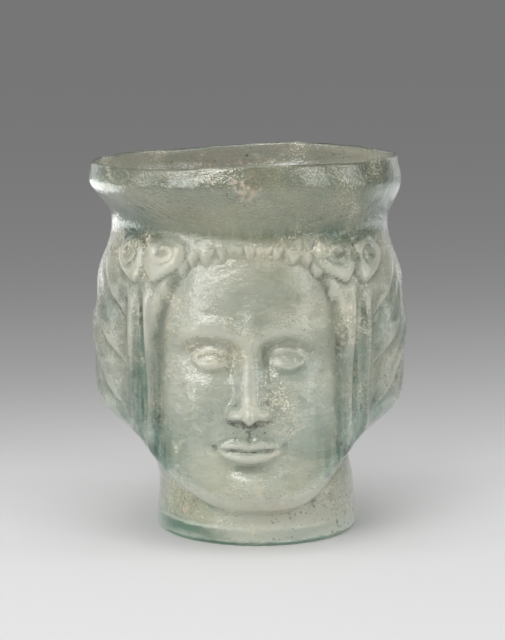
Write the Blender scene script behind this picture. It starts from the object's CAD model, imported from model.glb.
"""Janiform head cup: one vessel of weathered, bluish-green glass, blown into a mould of two heads.

The vessel is worked out in millimetres, as its CAD solids are, and made in metres. A turn is an
angle about the upright axis, counted from the front face, or from the nearer face where both heads
share a form. An arc is such a turn's length round the head, x a distance aside and z a height.
"""

import math
from functools import reduce

import bpy
import numpy as np
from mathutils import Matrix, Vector

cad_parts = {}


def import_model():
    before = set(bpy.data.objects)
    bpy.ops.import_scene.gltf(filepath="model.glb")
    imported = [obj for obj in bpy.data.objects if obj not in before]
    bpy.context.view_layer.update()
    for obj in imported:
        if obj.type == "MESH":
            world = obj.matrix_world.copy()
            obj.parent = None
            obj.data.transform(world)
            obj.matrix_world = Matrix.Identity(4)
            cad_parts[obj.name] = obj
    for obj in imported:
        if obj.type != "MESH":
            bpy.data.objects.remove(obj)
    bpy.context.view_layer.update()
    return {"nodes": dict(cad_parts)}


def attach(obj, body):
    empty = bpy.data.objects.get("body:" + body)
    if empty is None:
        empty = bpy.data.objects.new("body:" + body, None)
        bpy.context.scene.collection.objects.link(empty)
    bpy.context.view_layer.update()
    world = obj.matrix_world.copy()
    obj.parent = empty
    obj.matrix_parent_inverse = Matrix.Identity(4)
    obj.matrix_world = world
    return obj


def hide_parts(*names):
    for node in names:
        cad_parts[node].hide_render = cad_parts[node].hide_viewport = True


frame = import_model()

MM = 0.001
QUARTER_TURN = math.pi / 2

# Vessel sizes
FOOT_RADIUS = 24.6
FOOT_FLARE = 0.7
FOOT_HEIGHT = 13.6
HEAD_HALF_WIDTH = 38.4
HEAD_HALF_DEPTH = 36.8
SIDE_SWELL = 0.8
SIDE_SWELL_LEVEL = 51.2
SIDE_SWELL_SPREAD = 6.4
NECK_RADIUS = 34.5
NECK_LEVEL = 78.0
MOUTH_HEIGHT = 15.6
HEIGHT = NECK_LEVEL + MOUTH_HEIGHT
MOUTH_RADIUS = 39.0
LIP_RADIUS = 38.3
WALL = 2.2
LIP_WALL = 1.3
LIP_LEVEL = HEIGHT - LIP_WALL / 2
FLOOR_THICKNESS = 2.8
BASE_EDGE_RADIUS = 1.2
KICK_RADIUS = 15.0
KICK_DEPTH = 0.8

# The plan is a rounded square at the head and a circle at the neck, with the crown between them.
# Starts and reaches are shares of the head's height and of the mouth's height.
HEAD_SQUARENESS = 2.3
NECK_SQUARENESS = 2.0
CROWN_START = 0.62
CROWN_REACH = 0.38
CROWN_EASE = 1.4
FLARE_REACH = 0.72
LIP_TURN_START = 0.68
LIP_TURN_REACH = 0.32

# How the hand-finished cup is out of true
AXIS_SHIFT = 0.4
FOOT_SHIFT = 1.7
MOUTH_SHIFT = 1.4
LIP_STEP = 0.85
LIP_STEP_SLANT = 0.14
LIP_STEP_PLACE = 0.78
LIP_WAVER = 0.12
WALL_WAVER = 0.3
WALL_WAVER_FADE = 12.0

# Jaw sizes
CHIN_SEAT = 7.6
CHIN_SHELF = 7.0
CHIN_SHELF_EASE = 1.3
JAW_RISE = 11.0
JAW_SLOPE = 18.0
JAW_SLOPE_EASE = 1.6
JAW_TURN = 0.78

# Face sizes: three equal thirds, and a face five eyes wide
CHIN_LEVEL = 13.1
FACE_THIRD = 20.2
EYE_WIDTH = 9.3
NOSE_LEVEL = CHIN_LEVEL + FACE_THIRD
BROW_LEVEL = NOSE_LEVEL + FACE_THIRD
HAIRLINE = BROW_LEVEL + FACE_THIRD
EYE_LEVEL = BROW_LEVEL - 0.26 * FACE_THIRD
MOUTH_LEVEL = NOSE_LEVEL - 0.34 * FACE_THIRD
FACE_HALF_WIDTH = 2.55 * EYE_WIDTH
FACE_TURN_BACK = 2.2
NOSE_PROJECTION = 5.4
BROW_PROJECTION = 1.3
SOCKET_DEPTH = 2.5
EYEBALL_PROJECTION = 2.2
LID_PROJECTION = 0.55
CHEEK_PROJECTION = 1.9
MUZZLE_PROJECTION = 1.3
LIP_PROJECTION = 1.5
CHIN_PROJECTION = 1.9
FOREHEAD_PROJECTION = 0.7

# Hair: its depth, its lower edge, which rises towards the mould seam, and its edge round the face,
# which is a rounded square
HAIR_DEPTH = 1.4
HAIR_HEM = 18.6
HAIR_HEM_RISE = 0.27
HAIR_HEM_FADE = 12.0
HAIR_EDGE = 0.97
HAIR_EDGE_FADE = 0.07
FACE_SQUARENESS = 2.8
SEAM_ARC = HEAD_HALF_WIDTH * QUARTER_TURN

# Fringe: round locks of uneven width and length
FRINGE_PITCH = 3.4
FRINGE_DEPTH = 0.35
FRINGE_ROUNDNESS = 0.6
FRINGE_SWAY = 0.4
FRINGE_SWAY_PACE = 0.9
FRINGE_TIP = 2.2
FRINGE_TIP_LIFT = 0.4
FRINGE_LENGTH = 0.8
FRINGE_UNEVENNESS = 0.3
FRINGE_UNEVEN_PACE = 1.3

# Curls: the tip's length and the top's height are shares of the radius
CURL_RADIUS = 5.6
CURL_WIDENING = 1.1
CURL_DEPTH = 2.3
CURL_TIP = 1.35
CURL_TOP = 0.85
CURL_TIP_THINNING = 0.35
CURL_TURNS = 1.8
CURL_GROOVE = 0.22
CURL_HOLLOW = 0.35
FRONT_CURL_PLACE = 0.385 * SEAM_ARC
FRONT_CURL_LEAN = 0.3
BACK_CURL_PLACE = 0.575 * SEAM_ARC
BACK_CURL_RADIUS = 0.88 * CURL_RADIUS
BACK_CURL_DROP = 1.4
BACK_CURL_LEAN = -0.9

# Strands beside the cheeks, whose sway, notch and spacing are shares of their width, and the
# valley behind them
STRAND_WIDTH = 3.4
STRAND_DEPTH = 1.4
STRAND_SWAY = 0.16
STRAND_NOTCH = 0.68
STRAND_SPACING = 1.35
VALLEY_DEPTH = 1.6
VALLEY_PLACE = 0.585 * SEAM_ARC
VALLEY_WIDTH = 0.055 * SEAM_ARC
VALLEY_END = 0.75 * JAW_SLOPE
VALLEY_FADE = 10

# Side locks, and the shadows under their edges and under their hem
LOCK_PITCH = 11.8
LOCK_DEPTH = 2.2
LOCK_EDGE = 0.15
LOCK_THINNING = 0.7
LOCK_SLOPE = 0.68
LOCK_CURVE = 0.012
LOCK_SEAM_LEVEL = 42.6
LOCK_SEAM_ROUNDING = 2.0
LOCK_SEAM_FLATTENING = 0.25
LOCK_SEAM_WIDTH = 4.0
LOCK_START = 0.56 * SEAM_ARC
LOCK_START_FADE = 0.1 * SEAM_ARC
LOCK_HEM = 14.6
LOCK_HEM_FADE = 6.0
LOCK_LINE = 0.11
COMB_DEPTH = 0.02
COMB_LINES = 3
HEM_SHADOW_DROP = 4
HEM_SHADOW_WIDTH = 5
HEM_SHADOW_START = 0.72 * SEAM_ARC
HEM_SHADOW_FADE = 0.15 * SEAM_ARC

# Mesh density: the outside carries the relief, so it has more columns than the smooth inside
COLUMNS = 480
COLUMN_SHARE = 4
ROWS = {
    "base": 10,
    "edge": 6,
    "foot": 6,
    "head": 125,
    "mouth": 20,
    "lip": 8,
    "inside": 12,
    "well": 50,
    "floor": 8,
}
WELL_FLOOR_RISE = 1.5
INNER_BLUR = 3

# What counts as a groove or a ridge: how far it is blurred, in mesh cells, and how deep it is
FORM_BLUR = 24
FORM_DEPTH = 0.8
CREASE_BLUR = 5
CREASE_DEPTH = 0.25

# How strongly each kind of groove is marked
HOLLOW_MARK = 0.45
CREASE_MARK = 0.88
LOCK_EDGE_MARK = 0.8
HEM_MARK = 0.6

# Grooves are marked less on the step under the jaw and in the fringe
STEP_MARK = 0.25
STEP_MARK_START = 1.5
STEP_MARK_REACH = 0.4
FRINGE_MARK_LOSS = 0.85
FRINGE_MARK_HEIGHT = 4
FRINGE_MARK_WIDTH = 16

# Greener bands of thicker glass: low down they are wider and stronger than high up
BAND_PLACE = 26.6
BAND_WIDTH = 3.0
BAND_HEIGHT = 1.7 * FACE_THIRD
BAND_WIDENING = (1.5, 0.6)
BAND_STRENGTH = (1, 0.15)
RIGHT_BAND_SHARE = 0.8
JAW_BAND = 7.0
JAW_BAND_PLACE = 0.35 * JAW_SLOPE
HEM_BAND_SHARE = 0.8
NECK_BAND = 3.0
NECK_BAND_SHARE = 0.7
SIDE_BAND_TURN = 1.0
SIDE_BAND_SPREAD = 0.3
SIDE_BAND_SHARE = 0.85

# Camera: where it stands and what it looks at; its sensor lies along the picture's height
CAMERA_DISTANCE = 540.0
CAMERA_HEIGHT = 138.0
AIM = (1.1, 0.0, 52.25)
PIXELS_PER_MM = 3.96
PHOTO_HEIGHT = 640
SENSOR = 36.0
NEAR_LIMIT = 0.01
FAR_LIMIT = 100


def lerp(a, b, t):
    return a + (b - a) * t


def smooth(t):
    t = np.clip(t, 0, 1)
    return t * t * (3 - 2 * t)


def bump(*offsets):
    return np.exp(-sum(t * t for t in offsets))


def nearer(turns):
    """Turns counted from the front face, counted from the nearer face instead"""
    return (turns + QUARTER_TURN) % math.pi - QUARTER_TURN


# The features' own numbers are shares of an eye's width across and of a face third up
def brow(x, z):
    across = np.clip((x - 0.15 * EYE_WIDTH) / (1.95 * EYE_WIDTH), 0, 1)
    arch = BROW_LEVEL + FACE_THIRD * (0.14 * np.sin(np.pi * across**0.85) - 0.06)
    height = (z - arch) / FACE_THIRD
    outer = 1 - smooth((x - 1.45 * EYE_WIDTH) / (0.8 * EYE_WIDTH))
    inner = 0.45 + 0.55 * smooth(x / (0.45 * EYE_WIDTH))
    return BROW_PROJECTION * outer * inner * bump(height / np.where(height < 0, 0.1, 0.2))


def nose(x, z):
    down = (BROW_LEVEL - z) / FACE_THIRD
    along = np.clip(down, 0, 1)
    ridge = lerp(0.27, 0.86, along**1.2)
    half = EYE_WIDTH * lerp(0.27, 0.34, along)
    bridge = ridge * np.exp(-np.abs(x / half) ** 2.2)
    ball = 0.2 * bump(x / (0.27 * EYE_WIDTH), (down - 0.87) / 0.12)
    wings = 0.4 * bump((x - 0.4 * EYE_WIDTH) / (0.16 * EYE_WIDTH), (down - 0.91) / 0.095)
    nostril = 0.2 * bump((x - 0.24 * EYE_WIDTH) / (0.09 * EYE_WIDTH), (down - 1.01) / 0.045)
    top = smooth((down + 0.5) / 0.5)
    edge = 1.07 - 0.05 * smooth(x / (0.2 * EYE_WIDTH))
    base = smooth((edge - down) / 0.11)
    return NOSE_PROJECTION * top * base * (bridge + ball + wings - nostril)


def eye(x, z):
    across = (x - EYE_WIDTH) / EYE_WIDTH
    height = (z - EYE_LEVEL) / FACE_THIRD
    socket = SOCKET_DEPTH * bump((across + 0.03) / 0.72, (height - 0.03) / 0.2)
    corner = 0.5 * SOCKET_DEPTH * bump((across + 0.5) / 0.19, height / 0.16)
    ball = EYEBALL_PROJECTION * bump(across / 0.47, height / np.where(height > 0, 0.14, 0.12))
    reach = np.clip(1 - (across / 0.56) ** 2, 0, 1)
    upper = np.sqrt(reach) * bump((height - 0.115 * reach) / 0.03)
    lower = np.sqrt(reach) * bump((height + 0.085 * reach) / 0.03)
    return ball - socket - corner + LID_PROJECTION * (upper + 0.8 * lower)


def mouth(x, z):
    across = x / EYE_WIDTH
    height = (z - MOUTH_LEVEL) / FACE_THIRD - 0.035 * np.clip(across, 0, 1) ** 2
    full = np.clip(1 - (across / 0.86) ** 2, 0, 1)
    bow = 0.066 * full**0.5 * (0.8 + 0.2 * np.cos(across * 5.4 - 1.9))
    upper = full**0.7 * bump((height - bow) / (0.022 + 0.028 * full))
    lower = full**0.9 * bump((height + 0.085 * full**0.6) / (0.02 + 0.045 * full))
    line = 0.3 * full**0.5 * bump(height / 0.018)
    corner = 0.45 * bump((across - 0.92) / 0.14, height / 0.07)
    hollow = 0.7 * bump(across / 0.62, (height + 0.235) / 0.07)
    groove = 0.22 * bump(across / 0.11, (height - 0.2) / 0.1)
    return LIP_PROJECTION * (0.85 * upper + lower - line - corner - hollow - groove)


def flesh(x, z):
    across = x / EYE_WIDTH
    over_nose = (z - NOSE_LEVEL) / FACE_THIRD
    cheek = bump((across - 1.4) / 0.95, (over_nose - 0.2) / 0.5)
    muzzle = bump(across / 0.95, (z - MOUTH_LEVEL) / FACE_THIRD / 0.38)
    fold_place = across - 1.05 + 0.45 * (over_nose + 0.1)
    fold = 0.2 * bump(fold_place / 0.13, (over_nose + 0.1) / 0.28)
    chin = bump(across / 0.62, ((z - CHIN_LEVEL) / FACE_THIRD - 0.26) / 0.19)
    forehead = bump(across / 1.6, (over_nose - 1.55) / 0.4)
    return (
        CHEEK_PROJECTION * cheek
        + MUZZLE_PROJECTION * (muzzle - fold)
        + CHIN_PROJECTION * chin
        + FOREHEAD_PROJECTION * forehead
    )


def fringe_phase(x):
    """1 down the middle of a fringe lock and 0 in the notch beside it"""
    sway = FRINGE_SWAY * np.sin(FRINGE_SWAY_PACE * x)
    return np.abs(np.cos(np.pi * (x + sway) / FRINGE_PITCH)) ** FRINGE_ROUNDNESS


def hair_mask(arc, x, z):
    """0 on the face and 1 in the hair, with the fringe's tips hanging past the hairline"""
    middle = lerp(CHIN_LEVEL, HAIRLINE, 0.5)
    reach = 1 - smooth((x - 0.8 * FACE_HALF_WIDTH) / (0.2 * FACE_HALF_WIDTH))
    length = FRINGE_LENGTH + FRINGE_UNEVENNESS * np.sin(FRINGE_UNEVEN_PACE * x)
    height = z + FRINGE_TIP * reach * (fringe_phase(x) * length - FRINGE_TIP_LIFT)
    over = np.maximum((height - middle) / (HAIRLINE - middle), 0)
    across = (x / FACE_HALF_WIDTH) ** FACE_SQUARENESS
    around = (across + over**FACE_SQUARENESS) ** (1 / FACE_SQUARENESS)
    hem = HAIR_HEM + HAIR_HEM_RISE * arc
    return smooth((around - HAIR_EDGE) / HAIR_EDGE_FADE) * smooth((z - hem) / HAIR_HEM_FADE + 0.5)


def curl(arc, z, place, level, radius, tip_lean):
    """A round curl with a spiral groove, narrowing to a pointed tip that leans aside"""
    up = (z - level) / radius
    tip = np.clip(-up / CURL_TIP, 0, 1)
    width = CURL_WIDENING * radius * (np.cos(QUARTER_TURN * tip**1.4) + 0.01)
    across = (arc - place - tip_lean * tip**1.5 * radius) / width
    reach = np.hypot(across, np.maximum(up, 0) / CURL_TOP)
    inside = np.clip(1 - reach**3, 0, 1) * smooth((CURL_TIP + up) / 0.1)
    aside = (arc - place) / (CURL_WIDENING * radius)
    out = np.hypot(aside, up / CURL_TOP)
    turn = np.arctan2(up, aside)
    spiral = (out * CURL_TURNS - turn / (2 * np.pi)) % 1 - 0.5
    groove = bump(spiral / 0.2) * smooth((0.9 - out) / 0.4)
    hollow = CURL_HOLLOW * bump(out / 0.5)
    carved = 1 - hollow - CURL_GROOVE * groove
    return CURL_DEPTH * inside**0.5 * carved * (1 - CURL_TIP_THINNING * tip)


def curls(arc, z):
    """The two curls at the temple"""
    front = curl(arc, z, FRONT_CURL_PLACE, HAIRLINE, CURL_RADIUS, FRONT_CURL_LEAN)
    back_level = HAIRLINE - BACK_CURL_DROP
    back = curl(arc, z, BACK_CURL_PLACE, back_level, BACK_CURL_RADIUS, BACK_CURL_LEAN)
    return np.maximum(front, back)


def fringe(x, z):
    """The single locks over the forehead"""
    end = 1 - smooth((x - 0.65 * FACE_HALF_WIDTH) / (0.2 * FACE_HALF_WIDTH))
    level = bump((z - HAIRLINE) / FACE_THIRD / 0.2 - 0.4)
    return FRINGE_DEPTH * (fringe_phase(x) - 0.3) * end * level


def strands(x, z):
    """The two long strands beside each cheek"""
    down = (HAIRLINE - z) / FACE_THIRD
    sway = STRAND_SWAY * STRAND_WIDTH * np.sin(2.6 * down)
    place = (x - FACE_HALF_WIDTH - 0.1 * STRAND_WIDTH - sway) / STRAND_WIDTH
    length = smooth((down - 0.35) / 0.3) * (1 - smooth((down - 1.7) / 1.1))
    between = 0.5 * bump((place - STRAND_NOTCH) / 0.35)
    both = bump(place / 0.3) + 0.8 * bump((place - STRAND_SPACING) / 0.4)
    return STRAND_DEPTH * length * (both - between - 0.3)


def from_seam(arc):
    """How far from the mould seam, rounded off where the two heads' locks meet"""
    return np.sqrt((SEAM_ARC - arc) ** 2 + LOCK_SEAM_ROUNDING)


def lock_phase(arc, z):
    """0 at a lock's lower edge and 1 at its root, under the edge of the lock above"""
    back = from_seam(arc)
    along = (z - LOCK_SEAM_LEVEL + LOCK_SLOPE * back * (1 + LOCK_CURVE * back)) / LOCK_PITCH
    return along - np.floor(along)


def over_lock_hem(arc, z):
    """0 below the side locks and 1 over their hem"""
    return smooth((z - LOCK_HEM - HAIR_HEM_RISE * arc) / LOCK_HEM_FADE + 0.3)


def lock_share(arc, z):
    """1 where the side locks are, behind the strands and between the crown and the jaw"""
    reach = smooth((arc - LOCK_START) / LOCK_START_FADE)
    upper = 1 - smooth((z - HAIRLINE) / (0.5 * FACE_THIRD) + 0.6)
    return reach * upper * over_lock_hem(arc, z)


def side_locks(arc, z):
    """Overlapping locks that fall from the mould seam, with fine comb lines"""
    phase = lock_phase(arc, z)
    lump = smooth(phase / LOCK_EDGE) * (1 - LOCK_THINNING * phase**1.3)
    combed = COMB_DEPTH * np.cos(2 * np.pi * phase * COMB_LINES) * np.sin(np.pi * phase)
    flat_seam = 1 - LOCK_SEAM_FLATTENING * bump(from_seam(arc) / LOCK_SEAM_WIDTH)
    return LOCK_DEPTH * (lock_share(arc, z) * flat_seam * (lump + combed - 0.5))


def valley(arc, z):
    """The groove between the strands and the side locks"""
    groove = smooth((HAIRLINE - z) / (0.3 * FACE_THIRD) - 1.25) * over_lock_hem(arc, z)
    groove = groove * bump((arc - VALLEY_PLACE) / VALLEY_WIDTH)
    return VALLEY_DEPTH * (groove * smooth((z - JAW_RISE - VALLEY_END) / VALLEY_FADE))


def lock_edges(turn, z):
    """1 in the narrow shadow under each side lock's edge"""
    arc = np.abs(turn) * HEAD_HALF_WIDTH
    phase = lock_phase(arc, z)
    return (bump(phase / LOCK_LINE) + bump((1 - phase) / LOCK_LINE)) * lock_share(arc, z)


def hem_edge(turn, z):
    """1 along the side locks' lower edge, where it overhangs the jaw"""
    arc = np.abs(turn) * HEAD_HALF_WIDTH
    hem = LOCK_HEM + HAIR_HEM_RISE * arc
    reach = smooth((arc - HEM_SHADOW_START) / HEM_SHADOW_FADE)
    return bump((z - hem + HEM_SHADOW_DROP) / HEM_SHADOW_WIDTH) * reach


def relief(turn, x, z):
    """How far the moulded relief stands over the plain head"""
    arc = np.abs(turn) * HEAD_HALF_WIDTH
    side = np.abs(x)
    features = brow(side, z) + nose(side, z) + eye(side, z) + mouth(side, z) + flesh(side, z)
    behind_face = smooth((arc / FACE_HALF_WIDTH - 1.2) / 0.5)
    over_jaw = smooth((z - CHIN_LEVEL) / FACE_THIRD - 0.25)
    edge = smooth(side / FACE_HALF_WIDTH - 0.1) ** 2.5 * over_jaw * (1 - behind_face)
    face = features - HAIR_DEPTH * (1 - 0.5 * behind_face) - FACE_TURN_BACK * edge
    curled = curls(arc, z)
    locks = strands(side, z) + (side_locks(arc, z) - valley(arc, z))
    dressed = curled + fringe(side, z) + locks * (1 - smooth(curled / CURL_DEPTH / 0.3))
    return lerp(face, dressed, hair_mask(arc, side, z))


def jaw_aside(turn):
    """0 under the chin and 1 at the sides, where the jaw is drawn in under the hair"""
    return smooth(np.sin(turn) ** 2 / JAW_TURN)


def step_height(aside):
    """How far up the step from the foot to the head reaches, under the chin and at the sides"""
    return lerp(CHIN_SHELF, JAW_SLOPE, aside)


def jaw_swell(turn, z):
    """0 on the foot and 1 on the head, with the step under the chin lower than at the sides"""
    aside = jaw_aside(turn)
    start = CHIN_SEAT + JAW_RISE * aside
    rise = np.clip((z - start) / step_height(aside), 0, 1)
    return np.sin(QUARTER_TURN * rise) ** lerp(CHIN_SHELF_EASE, JAW_SLOPE_EASE, aside)


def plain_radius(turn, z):
    """Radius of the foot and head without their relief"""
    up = np.clip((z - FOOT_HEIGHT) / (NECK_LEVEL - FOOT_HEIGHT), 0, 1)
    crown = smooth(np.clip((up - CROWN_START) / CROWN_REACH, 0, 1) ** CROWN_EASE)
    side_swell = SIDE_SWELL * bump((z - SIDE_SWELL_LEVEL) / SIDE_SWELL_SPREAD)
    half_width = lerp(HEAD_HALF_WIDTH, NECK_RADIUS, crown) + side_swell
    half_depth = lerp(HEAD_HALF_DEPTH, NECK_RADIUS, crown)
    squareness = lerp(HEAD_SQUARENESS, NECK_SQUARENESS, crown)
    head = (
        np.abs(np.sin(turn) / half_width) ** squareness
        + np.abs(np.cos(turn) / half_depth) ** squareness
    ) ** (-1 / squareness)
    foot = FOOT_RADIUS + FOOT_FLARE * (1 - smooth(z / FOOT_HEIGHT))
    return lerp(foot, head, jaw_swell(turn, z))


def relief_share(turn, z):
    """How much relief shows: none on the foot and its step, and none at the neck ring"""
    aside = jaw_aside(turn)
    step = step_height(aside)
    over_step = (z - CHIN_SEAT - JAW_RISE * aside - 0.35 * step) / (0.5 * step)
    return smooth(over_step) * smooth((NECK_LEVEL - z) / (0.22 * FACE_THIRD))


def outer_radius(turn, z):
    plain = plain_radius(turn, z)
    return plain + relief_share(turn, z) * relief(turn, plain * np.sin(turn), z)


def mouth_radius(z):
    up = np.clip((z - NECK_LEVEL) / MOUTH_HEIGHT, 0, 1)
    flare = (MOUTH_RADIUS - NECK_RADIUS) * smooth(up / FLARE_REACH)
    turned_in = (MOUTH_RADIUS - LIP_RADIUS) * smooth((up - LIP_TURN_START) / LIP_TURN_REACH)
    return NECK_RADIUS + flare - turned_in


def blurred(grid, reach):
    """A grid of radii, blurred round the cup and up and down"""
    for _ in range(reach):
        grid = (np.roll(grid, 1, 1) + 2 * grid + np.roll(grid, -1, 1)) / 4
        middle = (grid[:-2] + 2 * grid[1:-1] + grid[2:]) / 4
        grid = np.vstack([grid[:1], middle, grid[-1:]])
    return grid


def wall_waver(turns, z):
    """The blown wall's slow swells, which bend what is seen through it"""
    slow = np.sin(3 * turns + 0.11 * z) * np.sin(0.16 * z + 1.3)
    quick = np.sin(7 * turns - 0.2 * z + 0.8) * np.sin(0.29 * z)
    return WALL_WAVER * (0.65 * slow + 0.35 * quick)


def inner_radius(turn, z):
    """The inside follows the relief softly, as blown glass does"""
    fade = smooth((NECK_LEVEL - z) / WALL_WAVER_FADE)
    return blurred(outer_radius(nearer(turn), z), INNER_BLUR) - WALL + fade * wall_waver(turn, z)


def lip_rise(x, y):
    """The lip's rise from its -X side to its +X side, and its small hand-made wavers"""
    turn = np.arctan2(x, -y)
    waver = np.sin(5 * turn + 0.6) + 0.6 * np.sin(11 * turn + 2.1) + 0.4 * np.sin(23 * turn)
    along = (x - LIP_STEP_SLANT * y) / LIP_RADIUS
    return LIP_STEP * (2 * smooth(along + LIP_STEP_PLACE) - 1) + LIP_WAVER * waver


def lean(x, y, z):
    """Moves points as the hand-finished cup is out of true: foot and mouth aside, lip not level"""
    foot_share = 1 - smooth(z / (0.8 * FOOT_HEIGHT) - 1)
    mouth_share = smooth((z - NECK_LEVEL) / (0.7 * MOUTH_HEIGHT) - 0.3)
    lift = smooth((z - NECK_LEVEL) / MOUTH_HEIGHT)
    shift = AXIS_SHIFT + FOOT_SHIFT * foot_share - MOUTH_SHIFT * mouth_share
    return x + shift, y, z + lift * lip_rise(x, y)


def thick_bands(turn, z):
    """1 where the glass pooled and shows greener: beside the strands and under the jaw"""
    side = plain_radius(turn, z) * np.abs(np.sin(turn))
    high = smooth((z - CHIN_LEVEL - FACE_THIRD) / BAND_HEIGHT)
    width = BAND_WIDTH * lerp(*BAND_WIDENING, high)
    strength = lerp(*BAND_STRENGTH, high) * lerp(1, RIGHT_BAND_SHARE, smooth(0.5 + turn))
    beside = bump((side - BAND_PLACE) / width) * strength
    beside = beside * smooth((z - JAW_RISE - JAW_SLOPE) / 4)
    under = bump((z - CHIN_SEAT - JAW_RISE - JAW_BAND_PLACE) / JAW_BAND)
    return np.maximum(beside, under * smooth(jaw_aside(turn) / 0.4))


def neck_band(turn, z):
    """1 where the glass pooled at the neck ring, most on the +X side"""
    over_neck = (z - NECK_LEVEL) / NECK_BAND
    ring = NECK_BAND_SHARE * bump(over_neck)
    up = bump((turn - SIDE_BAND_TURN) / SIDE_BAND_SPREAD) * smooth(over_neck + 1)
    uneven = 0.35 + 0.65 * smooth(0.5 + 0.7 * np.sin(turn))
    return np.maximum(ring * uneven, SIDE_BAND_SHARE * up)


class Rings:
    """Rings of points, from the middle of the underside over the lip to the inner floor

    Each ring keeps its columns and four marks for the material: how deep it lies in a groove,
    how high on a ridge, whether it is inside the cup, and whether glass pooled there.
    """

    def __init__(self):
        self.points = []
        self.marks = []
        self.rings = []

    def add(self, turns, radius, level, groove=0.0, ridge=0.0, inside=0.0, band=0.0):
        even = np.ones_like(turns)
        radius = radius * even
        x, y, z = lean(radius * np.sin(turns), -radius * np.cos(turns), level * even)
        first = len(self.points)
        self.points.extend(zip(x * MM, y * MM, z * MM))
        self.marks.extend(zip(groove * even, ridge * even, inside * even, band * even))
        self.rings.append((first, len(turns)))

    def add_middle(self, level, inside=0.0):
        x, y, z = lean(0.0, 0.0, level)
        self.rings.append((len(self.points), 1))
        self.points.append((x * MM, y * MM, z * MM))
        self.marks.append((0.0, 0.0, inside, 0.0))

    def faces(self):
        """Faces between neighbouring rings, which may differ in how many columns they have"""
        faces = []
        for (low, low_count), (high, high_count) in zip(self.rings, self.rings[1:]):
            steps = min(low_count, high_count)
            if steps == 1:
                steps = max(low_count, high_count)
            for step in range(steps):
                below = ring_span(low, low_count, step, steps)
                above = ring_span(high, high_count, step, steps)
                faces.append((*below, *reversed(above)))
        return faces


def ring_span(first, count, step, steps):
    """A ring's points from one step to the next"""
    if count == 1:
        return (first,)
    share = count // steps
    return tuple(first + (step * share + n) % count for n in range(share + 1))


def groove_marks(turn, z, hollow, crease):
    """How deep the outside lies in a groove, from 0 to 1"""
    aside = jaw_aside(turn)
    low = np.maximum(HOLLOW_MARK * np.clip(hollow, 0, 1), CREASE_MARK * np.clip(crease, 0, 1))
    low = np.maximum(low, LOCK_EDGE_MARK * lock_edges(turn, z))
    over_step = (z - CHIN_SEAT - JAW_RISE * aside) / step_height(aside)
    low *= lerp(STEP_MARK, 1, smooth(over_step / STEP_MARK_REACH - STEP_MARK_START))
    over_fringe = bump((z - HAIRLINE) / FRINGE_MARK_HEIGHT)
    low *= 1 - FRINGE_MARK_LOSS * (over_fringe * bump(turn * HEAD_HALF_WIDTH / FRINGE_MARK_WIDTH))
    return np.maximum(low, HEM_MARK * hem_edge(turn, z))


def form_marks(turn, z, grid):
    """The outside's marks for grooves, ridges and pooled glass, from its grid of radii"""
    near = nearer(turn)
    hollow = (blurred(grid, FORM_BLUR) - grid) / FORM_DEPTH
    crease = (blurred(grid, CREASE_BLUR) - grid) / CREASE_DEPTH
    low = groove_marks(near, z, hollow, crease)
    high = np.clip(np.maximum(-hollow, -crease), 0, 1)
    pooled = np.maximum(thick_bands(near, z), HEM_BAND_SHARE * hem_edge(near, z))
    return low, high, np.maximum(pooled, neck_band(turn, z))


def add_base(rings, turns, coarse):
    """From the middle of the shallow hollow underneath, out round the foot's edge"""
    rim = FOOT_RADIUS + FOOT_FLARE
    rings.add_middle(KICK_DEPTH)
    for t in np.linspace(0, 1, ROWS["base"])[1:-1]:
        r = t * (rim - BASE_EDGE_RADIUS)
        rings.add(coarse, r, KICK_DEPTH * (1 - smooth(r / KICK_RADIUS)))
    for t in np.linspace(0, QUARTER_TURN, ROWS["edge"]):
        level = BASE_EDGE_RADIUS * (1 - math.cos(t))
        rings.add(turns, rim - BASE_EDGE_RADIUS * (1 - math.sin(t)), level)


def add_heads(rings, turns):
    """The foot's side and both heads, up to the neck ring"""
    foot = np.linspace(BASE_EDGE_RADIUS, CHIN_SEAT, ROWS["foot"])[1:-1]
    head = np.linspace(CHIN_SEAT, NECK_LEVEL, ROWS["head"])
    levels = np.concatenate([foot, head])
    turn, z = turns[None, :], levels[:, None]
    grid = outer_radius(nearer(turn), z)
    for level, r, groove, ridge, band in zip(levels, grid, *form_marks(turn, z, grid)):
        rings.add(turns, r, level, groove, ridge, band=band)


def add_mouth(rings, turns):
    """The flared mouth: up its outside, over the rounded lip and down its inside to the neck

    The lip counts as a groove, so that the glass is as dark on it as where grime is held.
    """
    for level in np.linspace(NECK_LEVEL, LIP_LEVEL, ROWS["mouth"])[1:]:
        rings.add(turns, mouth_radius(level), level, band=neck_band(turns, level))
    for t in np.linspace(0, math.pi, ROWS["lip"])[1:-1]:
        r = LIP_RADIUS - LIP_WALL / 2 * (1 - math.cos(t))
        rings.add(turns, r, LIP_LEVEL + LIP_WALL / 2 * math.sin(t), groove=math.sin(t))
    for level in np.linspace(LIP_LEVEL, NECK_LEVEL, ROWS["inside"]):
        share = (level - NECK_LEVEL) / (LIP_LEVEL - NECK_LEVEL)
        rings.add(turns, mouth_radius(level) - lerp(WALL, LIP_WALL, share), level, inside=1.0)


def add_well(rings, coarse):
    """The inside below the neck, and the floor, whose outer fifth by area turns up to the wall"""
    well = np.linspace(NECK_LEVEL, FLOOR_THICKNESS + WELL_FLOOR_RISE, ROWS["well"])
    grid = inner_radius(coarse[None, :], well[:, None])
    for level, r in zip(well[1:], grid[1:]):
        rings.add(coarse, r, level, inside=1.0)
    for t in np.linspace(1, 0, ROWS["floor"])[1:-1]:
        rise = WELL_FLOOR_RISE * max(0.0, 5 * t - 4)
        rings.add(coarse, grid[-1] * math.sqrt(t), FLOOR_THICKNESS + rise, inside=1.0)
    rings.add_middle(FLOOR_THICKNESS, inside=1.0)


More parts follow.
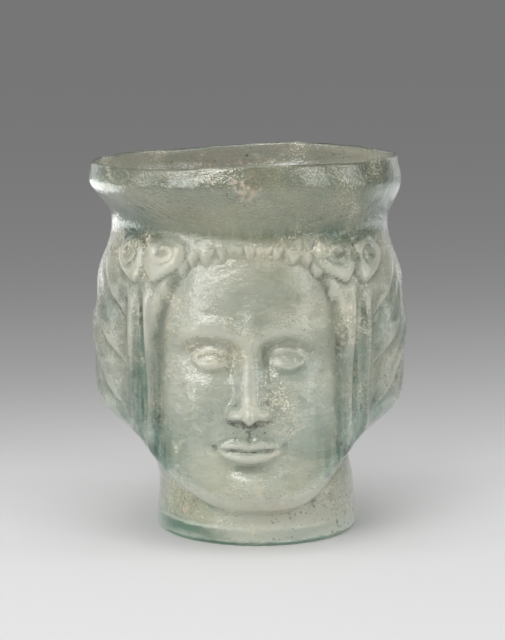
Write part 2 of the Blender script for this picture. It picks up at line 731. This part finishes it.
def vessel_mesh():
    turns = np.linspace(-math.pi, math.pi, COLUMNS, endpoint=False)
    coarse = turns[::COLUMN_SHARE]
    rings = Rings()
    add_base(rings, turns, coarse)
    add_heads(rings, turns)
    add_mouth(rings, turns)
    add_well(rings, coarse)
    mesh = bpy.data.meshes.new("glass_vessel")
    mesh.from_pydata(rings.points, [], rings.faces())
    marks = mesh.attributes.new("marks", "FLOAT_COLOR", "POINT")
    marks.data.foreach_set("color", np.array(rings.marks, dtype=np.float32).ravel())
    mesh.shade_smooth()
    return mesh


# Greys are given as they show on screen, from 0 to white, and made linear by the screen's own curve
WHITE = 255
SCREEN_OFFSET = 0.055
SCREEN_SCALE = 1.055
SCREEN_POWER = 2.4


def linear(grey):
    return ((grey / WHITE + SCREEN_OFFSET) / SCREEN_SCALE) ** SCREEN_POWER


def grey_colour(level):
    return (level, level, level, 1)


class Nodes:
    """A short way to build a node tree"""

    def __init__(self, tree):
        self.tree = tree
        tree.nodes.clear()

    def add(self, kind, inputs=None, **settings):
        node = self.tree.nodes.new(kind)
        for key, value in settings.items():
            setattr(node, key, value)
        for key, value in (inputs or {}).items():
            self.feed(node.inputs[key], value)
        return node

    def feed(self, socket, value):
        if isinstance(value, bpy.types.NodeSocket):
            self.tree.links.new(value, socket)
        else:
            socket.default_value = value

    def math(self, operation, *values, clamp=False):
        node = self.add("ShaderNodeMath", operation=operation, use_clamp=clamp)
        for socket, value in zip(node.inputs, values):
            self.feed(socket, value)
        return node.outputs[0]

    def chain(self, operation, values):
        """More than two values taken together, by one maths node after another"""
        return reduce(lambda first, second: self.math(operation, first, second), values)

    def product(self, *values):
        return self.chain("MULTIPLY", values)

    def highest(self, *values):
        return self.chain("MAXIMUM", values)

    def total(self, *parts, base=None):
        """The sum of (value, share) parts, over a base where there is one"""
        shares = [self.product(value, share) for value, share in parts]
        return self.chain("ADD", shares if base is None else [base, *shares])

    def noise(self, vector, scale, detail=4.0, roughness=0.55, distortion=0.0):
        inputs = {
            "Vector": vector,
            "Scale": scale,
            "Detail": detail,
            "Roughness": roughness,
            "Distortion": distortion,
        }
        return self.add("ShaderNodeTexNoise", inputs).outputs["Fac"]

    def step(self, value, low, high):
        """0 below low and 1 above high, smooth between; high may be under low"""
        inputs = {"Value": value, "From Min": low, "From Max": high}
        return self.add("ShaderNodeMapRange", inputs, interpolation_type="SMOOTHSTEP").outputs[0]

    def ramp(self, factor, *stops):
        """Grey levels that change along (position, level) stops, of which a new ramp has two"""
        node = self.add("ShaderNodeValToRGB", {"Fac": factor})
        elements = node.color_ramp.elements
        for index, (place, level) in enumerate(stops):
            element = elements[index] if index < 2 else elements.new(place)
            element.position = place
            element.color = grey_colour(level)
        return node.outputs["Color"]

    def mix(self, factor, a, b):
        """Two colours mixed; sockets 6 and 7 and output 2 are the node's colour ones"""
        return self.add("ShaderNodeMix", {0: factor, 6: a, 7: b}, data_type="RGBA").outputs[2]

    def mix_shaders(self, factor, a, b):
        return self.add("ShaderNodeMixShader", {0: factor, 1: a, 2: b}).outputs[0]


# Colours of the glass and of what lies on it; light takes on THICK_GLASS on its way through the wall
OLIVE_GLASS = (1.0, 0.93, 0.76, 1)
TEAL_GLASS = (0.84, 0.92, 0.86, 1)
MILKY = (0.90, 0.88, 0.76, 1)
SHADE_GLASS = (0.31, 0.46, 0.41, 1)
CREAM = (0.82, 0.75, 0.58, 1)
GROOVE_TINT = (0.26, 0.32, 0.25, 1)
LINE_TINT = (0.08, 0.10, 0.065, 1)
BAND_TINT = (0.09, 0.21, 0.16, 1)
EARTH = (0.09, 0.078, 0.045, 1)
OCHRE = (0.55, 0.33, 0.18, 1)
DEPOSIT = (0.55, 0.51, 0.40, 1)
THICK_GLASS = (0.40, 0.74, 0.68, 1)
THICK_GLASS_DENSITY = 75.0

# How much milkier the glass is at heights up the cup, as shares of its height
MILK_BY_HEIGHT = (
    (0.0, 0.50), (0.02, 0.88), (0.08, 0.84), (0.16, 0.67), (0.40, 0.71), (0.68, 0.69), (0.76, 0.76),
    (0.815, 0.73), (0.85, 0.40), (0.92, 0.40), (1.0, 0.46),
)

# How much greener the clear glass is at heights up the cup, and how far darker drifts run through it
TEAL_BY_HEIGHT = (
    (0.0, 0.0), (0.12, 0.05), (0.30, 0.25), (0.60, 0.12), (0.82, 0.10), (1.0, 0.16),
)
SHADE_BY_HEIGHT = (
    (0.0, 0.15), (0.74, 0.15), (0.84, 0.9), (0.91, 0.7), (1.0, 0.5),
)

# How much thicker the cream specks lie at heights up the cup
SPECKS_BY_HEIGHT = (
    (0.0, 0.05), (0.30, 0.05), (0.72, 0.05), (0.79, 0.20), (0.84, 0.02), (0.92, 0.04), (1.0, 0.08),
)

# How much more earth the grooves hold at heights up the cup: at the step, the lips and the nose
EARTH_BY_HEIGHT = (
    (0.0, 0.0), (0.08, 0.0), (0.11, 0.10), (0.14, 0.0), (0.25, 0.0), (0.28, 0.18), (0.31, 0.05),
    (0.35, 0.24), (0.38, 0.0),
)


class GlassNodes(Nodes):
    """Nodes that know where they are on the cup, and the patterns that its looks share"""

    def __init__(self, tree):
        super().__init__(tree)
        self.place = self.add("ShaderNodeTexCoord").outputs["Object"]
        axes = self.add("ShaderNodeSeparateXYZ", {"Vector": self.place}).outputs
        self.across = axes["X"]
        self.height = axes["Z"]
        self.level = self.math("DIVIDE", self.height, HEIGHT * MM, clamp=True)
        marks = self.add("ShaderNodeAttribute", attribute_name="marks").outputs
        split = self.add("ShaderNodeSeparateColor", {"Color": marks["Color"]}).outputs
        self.groove, self.ridge, self.inside = split[:3]
        self.band = marks["Alpha"]
        self.drift = self.noise(self.place, 34.0, detail=5.0, roughness=0.6, distortion=0.8)
        self.swirl = self.noise(self.drawn(3.2), 60.0, detail=5.0, roughness=0.65, distortion=0.8)
        self.spun = self.noise(self.drawn(4.0), 26.0, detail=2.5, roughness=0.45, distortion=0.3)
        self.grain = self.noise(self.place, 620.0, roughness=0.7)
        self.region = self.noise(self.place, 48.0, detail=2.0, roughness=0.5)
        grimy_groove = self.step(self.groove, 0.45, 0.88)
        self.grimy = self.product(grimy_groove, self.step(self.swirl, 0.30, 0.58))

    def drawn(self, rate):
        """Places for a pattern drawn out round the cup, or upright where the rate is below 1"""
        inputs = {0: self.place, 1: (1.0, 1.0, rate)}
        return self.add("ShaderNodeVectorMath", inputs, operation="MULTIPLY").outputs[0]


def glass_shade(n):
    """How far darker drifts show in the clear glass, more of them on the +X side"""
    patches = n.total((n.step(n.spun, 0.44, 0.54), 0.6), (n.step(n.drift, 0.46, 0.58), 0.6))
    by_height = n.product(patches, n.ramp(n.level, *SHADE_BY_HEIGHT))
    aside = n.total((n.step(n.across, -0.01, 0.035), 0.6), base=0.6)
    return n.math("MULTIPLY", by_height, aside, clamp=True)


def milky_weathering(n, shade):
    """Broad drifts, swirls and fine wisps, stronger on what stands proud

    Grooves, pooled glass, darker drifts and the foot's -X side are clearer.
    """
    wisps = n.noise(n.drawn(2.2), 190.0, roughness=0.7, distortion=1.4)
    olive_foot = n.product(n.step(n.across, 0.0, -0.02), n.step(n.level, 0.15, 0.10))
    cloud = n.total(
        (n.drift, 0.45),
        (n.swirl, 0.30),
        (wisps, 0.30),
        (n.ridge, 0.16),
        (n.highest(n.groove, n.band), -0.12),
        (n.ramp(n.level, *MILK_BY_HEIGHT), 1.0),
        (olive_foot, -0.45),
        (shade, -0.45),
    )
    return n.step(cloud, 0.98, 1.44)


def cream_specks(n):
    """A thin crust in clusters and the specks in it, thickest over the hair"""
    cluster = n.noise(n.place, 80.0, roughness=0.65, distortion=0.5)
    cluster = n.math("ADD", cluster, n.ramp(n.level, *SPECKS_BY_HEIGHT))
    crust = n.step(cluster, 0.50, 0.74)
    limit = n.total((crust, -0.185), base=0.72)
    fine = n.noise(n.place, 2900.0, detail=2.0, roughness=0.6)
    return crust, n.step(n.math("SUBTRACT", fine, limit), 0.0, 0.04)


def earth_remains(n):
    """Earth left in the grooves, most in those of the face, and in pits, most on the foot"""
    in_face = n.step(n.math("ABSOLUTE", n.across), 0.024, 0.016)
    held = n.total((n.region, 1.0), (in_face, n.ramp(n.level, *EARTH_BY_HEIGHT)))
    hold = n.product(n.step(n.groove, 0.40, 0.75), n.step(held, 0.50, 0.58))
    in_grooves = n.product(hold, n.step(n.grain, 0.46, 0.56))
    in_region = n.step(n.region, 0.46, 0.60)
    on_foot = n.step(n.level, 0.16, 0.11)
    limit = n.total((in_region, -0.10), (on_foot, -0.035), base=0.72)
    speckle = n.noise(n.place, 900.0, roughness=0.75)
    pits = n.step(n.math("SUBTRACT", speckle, limit), 0.0, 0.03)
    return n.highest(in_grooves, n.product(pits, 0.9))


def rusty_stains(n):
    stain = n.step(n.noise(n.place, 95.0, detail=3.0, roughness=0.6), 0.66, 0.72)
    return n.product(stain, n.step(n.grain, 0.4, 0.6))


def lip_deposit(n):
    """The pale coat inside the mouth"""
    return n.product(n.inside, n.step(n.height, 0.070, 0.086), n.step(n.drift, 0.2, 0.6))


def clear_glass_colour(n, shade):
    """Olive to bluish-green glass, with its darker drifts"""
    around = n.noise(n.place, 24.0, detail=3.0, roughness=0.5, distortion=0.6)
    teal = n.total((around, 0.6), (n.spun, 0.4), (n.ramp(n.level, *TEAL_BY_HEIGHT), 1.0))
    glass = n.mix(n.step(teal, 0.50, 0.80), OLIVE_GLASS, TEAL_GLASS)
    return n.mix(shade, glass, SHADE_GLASS)


def pooled_glass(n):
    """The greener bands, broken into upright streaks"""
    streaks = n.noise(n.drawn(0.08), 650.0, detail=2.0, roughness=0.6)
    return n.product(n.band, n.step(streaks, 0.25, 0.62))


def glass_normal(n, solid):
    """Ripples, fine pitting and how far specks and earth stand up"""
    ripple = n.noise(n.drawn(2.0), 85.0, detail=3.0, roughness=0.5, distortion=1.0)
    pitting = n.noise(n.place, 1100.0, detail=3.0, roughness=0.6)
    surface = n.total((ripple, 1.0), (pitting, 0.36), (solid, 0.05))
    inputs = {"Strength": 0.4, "Distance": 0.001, "Height": surface}
    return n.add("ShaderNodeBump", inputs).outputs["Normal"]


def glass_material():
    material = bpy.data.materials.new("weathered_glass")
    material.use_nodes = True
    n = GlassNodes(material.node_tree)
    shade = glass_shade(n)
    milk = milky_weathering(n, shade)
    crust, specks = cream_specks(n)
    earth = earth_remains(n)
    rust = n.product(rusty_stains(n), 0.6)
    deposit = lip_deposit(n)
    lines = n.product(n.grimy, 0.6)
    solid = n.highest(specks, earth, rust, lines)

    layers = (
        (milk, MILKY),
        (n.total((n.groove, 0.35), (n.grimy, 0.35)), GROOVE_TINT),
        (lines, LINE_TINT),
        (pooled_glass(n), BAND_TINT),
        (deposit, DEPOSIT),
        (n.product(crust, 0.4), CREAM),
        (n.product(specks, 0.9), CREAM),
        (rust, OCHRE),
        (earth, EARTH),
    )
    colour = clear_glass_colour(n, shade)
    for share, layer in layers:
        colour = n.mix(share, colour, layer)

    clear = n.total((milk, -0.40), (deposit, -0.30), base=0.96)
    clear = n.math("MULTIPLY", clear, n.math("SUBTRACT", 1.0, solid), clamp=True)
    inner_frost = n.product(n.inside, n.step(n.height, 0.084, 0.074))
    rough = n.total((milk, 0.26), (solid, 0.25), (inner_frost, 0.12), base=0.10)
    normal = glass_normal(n, solid)
    look = {
        "Base Color": colour,
        "Roughness": rough,
        "Transmission Weight": clear,
        "IOR": 1.5,
        "Coat Weight": 0.8,
        "Coat Roughness": 0.06,
        "Normal": normal,
        "Coat Normal": normal,
    }
    thickness = {"Color": THICK_GLASS, "Density": THICK_GLASS_DENSITY}
    surface = n.add("ShaderNodeBsdfPrincipled", look).outputs["BSDF"]
    volume = n.add("ShaderNodeVolumeAbsorption", thickness).outputs["Volume"]
    n.add("ShaderNodeOutputMaterial", {"Surface": surface, "Volume": volume})
    return material


def new_object(name, data):
    """A new object in the scene"""
    piece = bpy.data.objects.new(name, data)
    bpy.context.collection.objects.link(piece)
    return piece


def aim_object(piece, place, aim):
    """Puts a lamp or the camera at a place, looking at another"""
    piece.location = place
    piece.rotation_euler = (Vector(aim) - Vector(place)).to_track_quat("-Z", "Y").to_euler()


def glass_vessel():
    vessel = new_object("glass_vessel", vessel_mesh())
    vessel.data.materials.append(glass_material())
    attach(vessel, "root")
    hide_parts(*frame["nodes"])


# The floor's grey as it shows on screen, which falls off behind the cup as a lamp's light does
FLOOR_RADIUS = 9000.0
FLOOR_CORNERS = 64
FLOOR_GREY = 230.0
BACKDROP_GREY = 118.0
FALL_OFF = 188.0
FLOOR_SLANT = -0.2
ROUND_OFF = 250.0
SHADOW_REACH = 300.0


def floor_grey(n, place, away):
    """The floor's linear grey, from its grey on screen"""
    parts = n.add("ShaderNodeSeparateXYZ", {"Vector": place}).outputs
    behind = n.total((parts["Y"], 1.0), (parts["X"], FLOOR_SLANT))
    round_off = n.math("SUBTRACT", away, ROUND_OFF * MM)
    distance = n.highest(behind, round_off, 0.0)
    share = n.math("POWER", n.math("DIVIDE", distance, FALL_OFF * MM), 2.0)
    lit = n.math("DIVIDE", (FLOOR_GREY - BACKDROP_GREY) / WHITE, n.math("ADD", share, 1.0))
    shown = n.math("ADD", lit, BACKDROP_GREY / WHITE)
    scaled = n.math("DIVIDE", n.math("ADD", shown, SCREEN_OFFSET), SCREEN_SCALE)
    return n.math("POWER", scaled, SCREEN_POWER)


def floor_material():
    """Takes shadows near the cup and shows plain grey far from it and through the glass"""
    material = bpy.data.materials.new("studio_floor")
    material.use_nodes = True
    n = Nodes(material.node_tree)
    place = n.add("ShaderNodeTexCoord").outputs["Object"]
    away = n.add("ShaderNodeVectorMath", {0: place}, operation="LENGTH").outputs["Value"]
    grey = floor_grey(n, place, away)
    diffuse = n.add("ShaderNodeBsdfDiffuse", {"Color": grey}).outputs[0]
    shown = n.add("ShaderNodeEmission", {"Color": grey, "Strength": 1.0}).outputs[0]
    path = n.add("ShaderNodeLightPath").outputs
    seen = n.highest(path["Is Camera Ray"], path["Is Glossy Ray"])
    beyond = n.math("DIVIDE", away, SHADOW_REACH * MM, clamp=True)
    plain = n.highest(n.product(seen, beyond), path["Is Transmission Ray"])
    surface = n.mix_shaders(plain, diffuse, shown)
    n.add("ShaderNodeOutputMaterial", {"Surface": surface})
    return material


def floor():
    mesh = bpy.data.meshes.new("studio_floor")
    r = FLOOR_RADIUS * MM
    turns = np.linspace(0, 2 * math.pi, FLOOR_CORNERS, endpoint=False)
    corners = [(r * math.cos(turn), r * math.sin(turn), 0) for turn in turns]
    mesh.from_pydata(corners, [], [tuple(range(FLOOR_CORNERS))])
    plane = new_object("studio_floor", mesh)
    mesh.materials.append(floor_material())


# The studio is darker above its backdrop, which the glass shows
STUDIO_LIGHT = 0.3
STUDIO_DARK = 0.03
STUDIO_FADE = (0.75, 0.15)


def world():
    sky = bpy.data.worlds.new("studio_world")
    bpy.context.scene.world = sky
    sky.use_nodes = True
    n = Nodes(sky.node_tree)
    light = n.add("ShaderNodeBackground", {"Color": grey_colour(1), "Strength": STUDIO_LIGHT})
    direction = n.add("ShaderNodeTexCoord").outputs["Generated"]
    path = n.add("ShaderNodeLightPath").outputs
    up = n.add("ShaderNodeSeparateXYZ", {"Vector": direction}).outputs["Z"]
    facing = n.highest(n.step(up, *STUDIO_FADE), path["Is Camera Ray"])
    studio = n.mix(facing, grey_colour(STUDIO_DARK), grey_colour(linear(BACKDROP_GREY)))
    backdrop = n.add("ShaderNodeBackground", {"Color": studio, "Strength": 1.0})
    seen = n.highest(path["Is Camera Ray"], path["Is Glossy Ray"], path["Is Transmission Ray"])
    surface = n.mix_shaders(seen, light.outputs[0], backdrop.outputs[0])
    n.add("ShaderNodeOutputWorld", {"Surface": surface})


def camera():
    data = bpy.data.cameras.new("camera")
    place = Vector((AIM[0], -CAMERA_DISTANCE, CAMERA_HEIGHT)) * MM
    aim = Vector(AIM) * MM
    distance = (aim - place).length / MM
    data.sensor_width = SENSOR
    data.lens = PIXELS_PER_MM * distance * SENSOR / PHOTO_HEIGHT
    data.clip_start = NEAR_LIMIT
    data.clip_end = FAR_LIMIT
    rig = new_object("camera", data)
    aim_object(rig, place, aim)
    bpy.context.scene.camera = rig


def area_lamp(name, place, aim, width, height, power):
    light = bpy.data.lights.new(name, "AREA")
    light.shape = "RECTANGLE"
    light.size = width
    light.size_y = height
    light.energy = power
    lamp = new_object(name, light)
    aim_object(lamp, place, aim)
    lamp.visible_camera = False


# Lamps: name, place, what it looks at, width and height in metres, and power in watts
CUP_MIDDLE = (0, 0, 0.05)
LAMPS = (
    ("key_softbox", (-0.35, -0.80, 0.55), CUP_MIDDLE, 0.4, 0.3, 3.0),
    ("top_softbox", (0, -0.2, 0.95), (0, 0, 0), 0.6, 0.6, 2.6),
    ("left_strip", (-0.75, -0.20, 0.30), CUP_MIDDLE, 0.14, 0.8, 1.1),
    ("right_strip", (0.80, -0.10, 0.30), CUP_MIDDLE, 0.14, 0.8, 1.2),
    ("left_softbox", (-0.58, -0.55, 0.28), CUP_MIDDLE, 0.16, 0.5, 1.6),
    ("right_softbox", (0.62, -0.50, 0.28), CUP_MIDDLE, 0.12, 0.5, 1.0),
    ("left_card", (-0.42, 0.62, 0.25), CUP_MIDDLE, 0.20, 0.5, 0.25),
    ("right_card", (0.42, 0.62, 0.25), CUP_MIDDLE, 0.20, 0.5, 0.25),
    ("left_bounce", (-0.16, 0.10, 0.06), (-0.16, 0.10, 1), 0.18, 0.20, 0.20),
    ("right_bounce", (0.16, 0.10, 0.06), (0.16, 0.10, 1), 0.18, 0.20, 0.07),
)

camera()
world()
floor()
for lamp in LAMPS:
    area_lamp(*lamp)
glass_vessel()

bpy.context.scene.view_settings.view_transform = "Standard"
